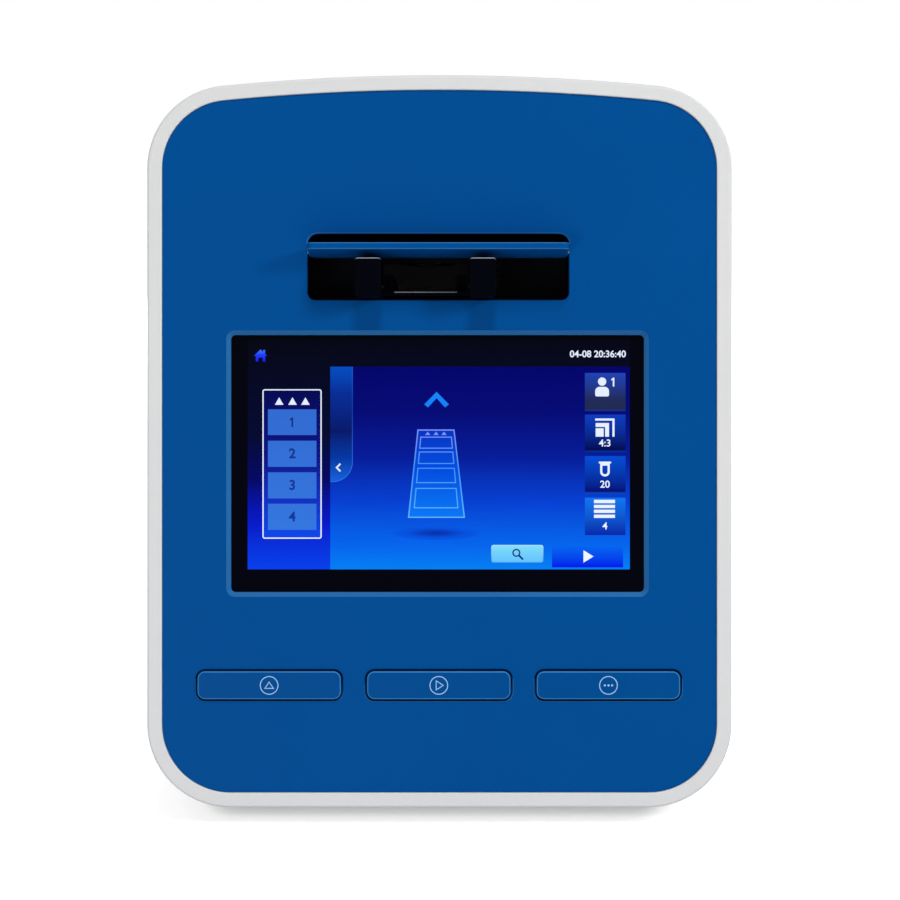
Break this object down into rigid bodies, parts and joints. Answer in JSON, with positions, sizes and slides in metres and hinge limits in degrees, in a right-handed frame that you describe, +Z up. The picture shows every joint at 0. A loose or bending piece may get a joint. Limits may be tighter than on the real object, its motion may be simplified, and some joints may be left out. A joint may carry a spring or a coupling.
{
  "type": "automated cell counter",
  "caption": "Bench cell counter: leaning arched front with a touch screen, wide push keys and a powered slide tray that comes out under a flap door.",
  "frame": {"origin": "centre of the bounding box's base, on the surface that the rubber feet stand on", "axes": "+Z up, the front panel faces -Y and leans back 10 degrees, +X to the right seen from the front"},
  "size_m": [0.2324, 0.21, 0.2951],
  "materials": {
    "pale_shell": "fine-textured moulded ABS",
    "blue_panel": "satin moulded ABS",
    "blue_key": "satin moulded ABS",
    "touch_glass": "polished black-backed cover glass",
    "black_port": "semi-matt black ABS",
    "black_tray": "semi-gloss black ABS",
    "rubber_foot": "moulded rubber",
    "steel_sheet": "zinc-plated sheet steel",
    "steel_turned": "ground stainless steel",
    "aluminium_sheet": "bare aluminium sheet",
    "aluminium_block": "machined, bead-blasted aluminium",
    "aluminium_black": "black anodised aluminium",
    "brass_part": "turned brass",
    "circuit_board": "glass-epoxy laminate with solder mask",
    "motor_case": "black-painted steel",
    "lens": "polished optical glass",
    "ribbon": "polyester film"
  },
  "bodies": {
    "casing": {"front_frame": "pale_shell", "front_panel": "blue_panel", "rear_housing": "pale_shell", "base_chassis": "steel_sheet", "foot_front_left": "rubber_foot", "foot_front_right": "rubber_foot", "foot_rear_left": "rubber_foot", "foot_rear_right": "rubber_foot", "foot_screws": "steel_turned", "rear_screws": "steel_turned", "chassis_plate": "aluminium_sheet", "chassis_screws": "steel_turned", "chassis_spacers": "steel_turned", "touch_glass": "touch_glass", "lcd_module": "steel_sheet", "button_board": "circuit_board", "port_liner": "black_port", "door_pin": "steel_turned", "tray_motor": "motor_case", "rail_block_front": "aluminium_block", "rail_block_rear": "aluminium_block", "guide_rod_left": "steel_turned", "guide_rod_right": "steel_turned", "optics_deck": "aluminium_block", "lamp_bridge": "aluminium_block", "lamp_housing": "aluminium_black", "condenser_lens": "lens", "focus_frame": "aluminium_block", "focus_rod_left": "steel_turned", "focus_rod_right": "steel_turned", "focus_motor": "motor_case", "main_board": "circuit_board", "board_standoffs": "brass_part", "display_ribbon": "ribbon", "dc_jack": "black_port", "usb_ports": "steel_sheet", "rocker_housing": "black_port"},
    "door": {"port_door": "blue_key"},
    "tray": {"slide_tray": "black_tray", "tray_nut": "brass_part"},
    "tray_screw": {"tray_lead_screw": "steel_turned"},
    "focus_stage": {"focus_carriage": "aluminium_block", "objective": "aluminium_black", "camera_tube": "aluminium_black", "camera_board": "circuit_board"},
    "focus_screw": {"focus_lead_screw": "steel_turned"},
    "eject_key": {"eject_button": "blue_key"},
    "start_key": {"start_button": "blue_key"},
    "function_key": {"function_button": "blue_key"},
    "rocker": {"power_rocker": "black_tray"}
  },
  "joints": [
    {"name": "tray_slide", "type": "slide", "parent": "casing", "child": "tray", "axis": [0, 0.9848, -0.1736], "range_m": [0, 0.06]},
    {"name": "door_hinge", "type": "hinge", "parent": "casing", "child": "door", "pos_m": [-0.00045, -0.06425, 0.22551], "axis": [1, 0, 0], "range_deg": [0, 94]},
    {"name": "tray_screw_turn", "type": "hinge", "parent": "casing", "child": "tray_screw", "pos_m": [0.04205, -0.00997, 0.20284], "axis": [0, 0.9848, -0.1736], "range_deg": [0, 2160]},
    {"name": "focus_slide", "type": "slide", "parent": "casing", "child": "focus_stage", "axis": [0, 0.1736, 0.9848], "range_m": [-0.0015, 0.0015]},
    {"name": "focus_screw_turn", "type": "hinge", "parent": "casing", "child": "focus_screw", "pos_m": [-0.00545, 0.02057, 0.13419], "axis": [0, 0.1736, 0.9848], "range_deg": [-270, 270]},
    {"name": "eject_press", "type": "slide", "parent": "casing", "child": "eject_key", "axis": [0, 0.9848, -0.1736], "range_m": [0, 0.0009], "stiffness_N_per_m": 600, "springref_m": -0.0012},
    {"name": "start_press", "type": "slide", "parent": "casing", "child": "start_key", "axis": [0, 0.9848, -0.1736], "range_m": [0, 0.0009], "stiffness_N_per_m": 600, "springref_m": -0.0012},
    {"name": "function_press", "type": "slide", "parent": "casing", "child": "function_key", "axis": [0, 0.9848, -0.1736], "range_m": [0, 0.0009], "stiffness_N_per_m": 600, "springref_m": -0.0012},
    {"name": "power_switch", "type": "hinge", "parent": "casing", "child": "rocker", "pos_m": [-0.052, 0.1011, 0.0299], "axis": [0, 0, 1], "range_deg": [-12, 0]}
  ],
  "couplings": [
    {"joint": "door_hinge", "follows": "tray_slide", "rad_per_m": 27.343},
    {"joint": "tray_screw_turn", "follows": "tray_slide", "rad_per_m": 628.32},
    {"joint": "focus_screw_turn", "follows": "focus_slide", "rad_per_m": 3141.6}
  ]
}
